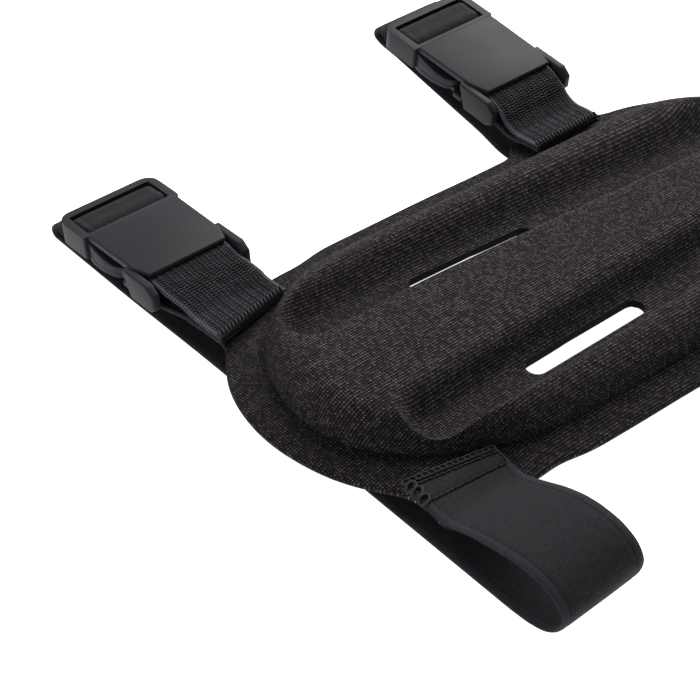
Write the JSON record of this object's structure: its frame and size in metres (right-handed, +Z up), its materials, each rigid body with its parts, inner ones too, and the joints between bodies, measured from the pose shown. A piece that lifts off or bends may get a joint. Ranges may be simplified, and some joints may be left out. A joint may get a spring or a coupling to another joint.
{
  "type": "archery arm guard",
  "caption": "Moulded black foam archery arm guard with raised middle panel, grooved sides and elastic straps closed by side-release buckles.",
  "frame": {"origin": "on the resting plane under the middle of the whole part's box", "axes": "X along the pad, toward its far end; +Y to the buckles; +Z up, out of the pad's face"},
  "size_m": [0.2034, 0.2058, 0.0215],
  "materials": {
    "cover": "matt black knit over moulded foam",
    "webbing": "black ribbed webbing",
    "elastic": "fine-ribbed black elastic",
    "buckle_plastic": "satin dark grey moulded plastic"
  },
  "bodies": {
    "root": {"pad": "cover", "near_webbing": "webbing", "near_buckle_socket": "buckle_plastic", "near_buckle_plug": "buckle_plastic", "near_elastic": "elastic", "far_webbing": "webbing", "far_buckle_socket": "buckle_plastic", "far_buckle_plug": "buckle_plastic", "far_elastic": "elastic"}
  },
  "joints": []
}
